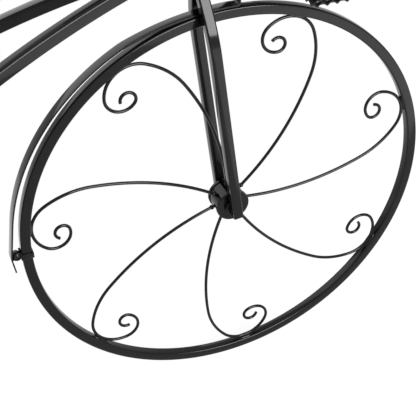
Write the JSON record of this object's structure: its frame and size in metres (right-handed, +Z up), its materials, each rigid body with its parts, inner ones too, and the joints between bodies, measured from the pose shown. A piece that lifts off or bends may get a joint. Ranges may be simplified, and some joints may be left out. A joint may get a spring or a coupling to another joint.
{
  "type": "tricycle plant stand",
  "caption": "Tricycle-shaped plant stand of black square steel tube, with scroll-spoke wheels, a turning fork with a guard strip, and an open net basket in front and behind.",
  "frame": {"origin": "on the floor, in the middle of the stand's length and width", "axes": "+X points to the front wheel and the front basket, +Y to the stand's left, +Z up"},
  "size_m": [0.89, 0.3346, 0.6122],
  "materials": {
    "black_coat": "glossy powder coat",
    "net_black": "semi-gloss powder coat",
    "zinc_steel": "bright zinc",
    "black_screw": "satin black",
    "grip_rubber": "matt"
  },
  "bodies": {
    "frame": {"cross_tie": "black_coat", "head_tube": "black_coat", "left_backbone": "black_coat", "left_post": "black_coat", "rear_axle": "zinc_steel", "rear_axle_tube": "black_coat", "rear_basket_base_frame": "black_coat", "rear_basket_corner_posts": "black_coat", "rear_basket_floor_net": "net_black", "rear_basket_rim_frame": "black_coat", "rear_basket_side_nets": "net_black", "rear_cap_nuts": "zinc_steel", "rear_tie": "black_coat", "right_backbone": "black_coat", "right_post": "black_coat"},
    "steering": {"carrier_cross": "black_coat", "clip_nut": "black_screw", "clip_screw": "black_screw", "fork_crown": "black_coat", "fork_leg_left": "black_coat", "fork_leg_right": "black_coat", "front_axle": "zinc_steel", "front_basket_base_frame": "black_coat", "front_basket_corner_posts": "black_coat", "front_basket_floor_net": "net_black", "front_basket_rim_frame": "black_coat", "front_basket_side_nets": "net_black", "front_hub": "black_coat", "front_rim": "black_coat", "front_spokes": "black_coat", "guard_lug": "black_coat", "guard_strip": "black_coat", "handlebar": "black_coat", "left_carrier_rail": "black_coat", "left_grip": "grip_rubber", "lock_nut": "zinc_steel", "right_carrier_rail": "black_coat", "right_grip": "grip_rubber", "rim_clip": "black_coat", "steering_stem": "black_coat"},
    "rear_left_wheel": {"rear_left_hub": "black_coat", "rear_left_rim": "black_coat", "rear_left_spokes": "black_coat"},
    "rear_right_wheel": {"rear_right_hub": "black_coat", "rear_right_rim": "black_coat", "rear_right_spokes": "black_coat"}
  },
  "joints": [
    {"name": "steer", "type": "hinge", "parent": "frame", "child": "steering", "pos_m": [0.235, 0, 0.21], "axis": [-0.1305, 0, 0.9914], "range_deg": [-35, 35]},
    {"name": "rear_left_spin", "type": "hinge", "parent": "frame", "child": "rear_left_wheel", "pos_m": [-0.325, 0.14, 0.12], "axis": [0, 1, 0], "continuous": true},
    {"name": "rear_right_spin", "type": "hinge", "parent": "frame", "child": "rear_right_wheel", "pos_m": [-0.325, -0.14, 0.12], "axis": [0, 1, 0], "continuous": true}
  ]
}
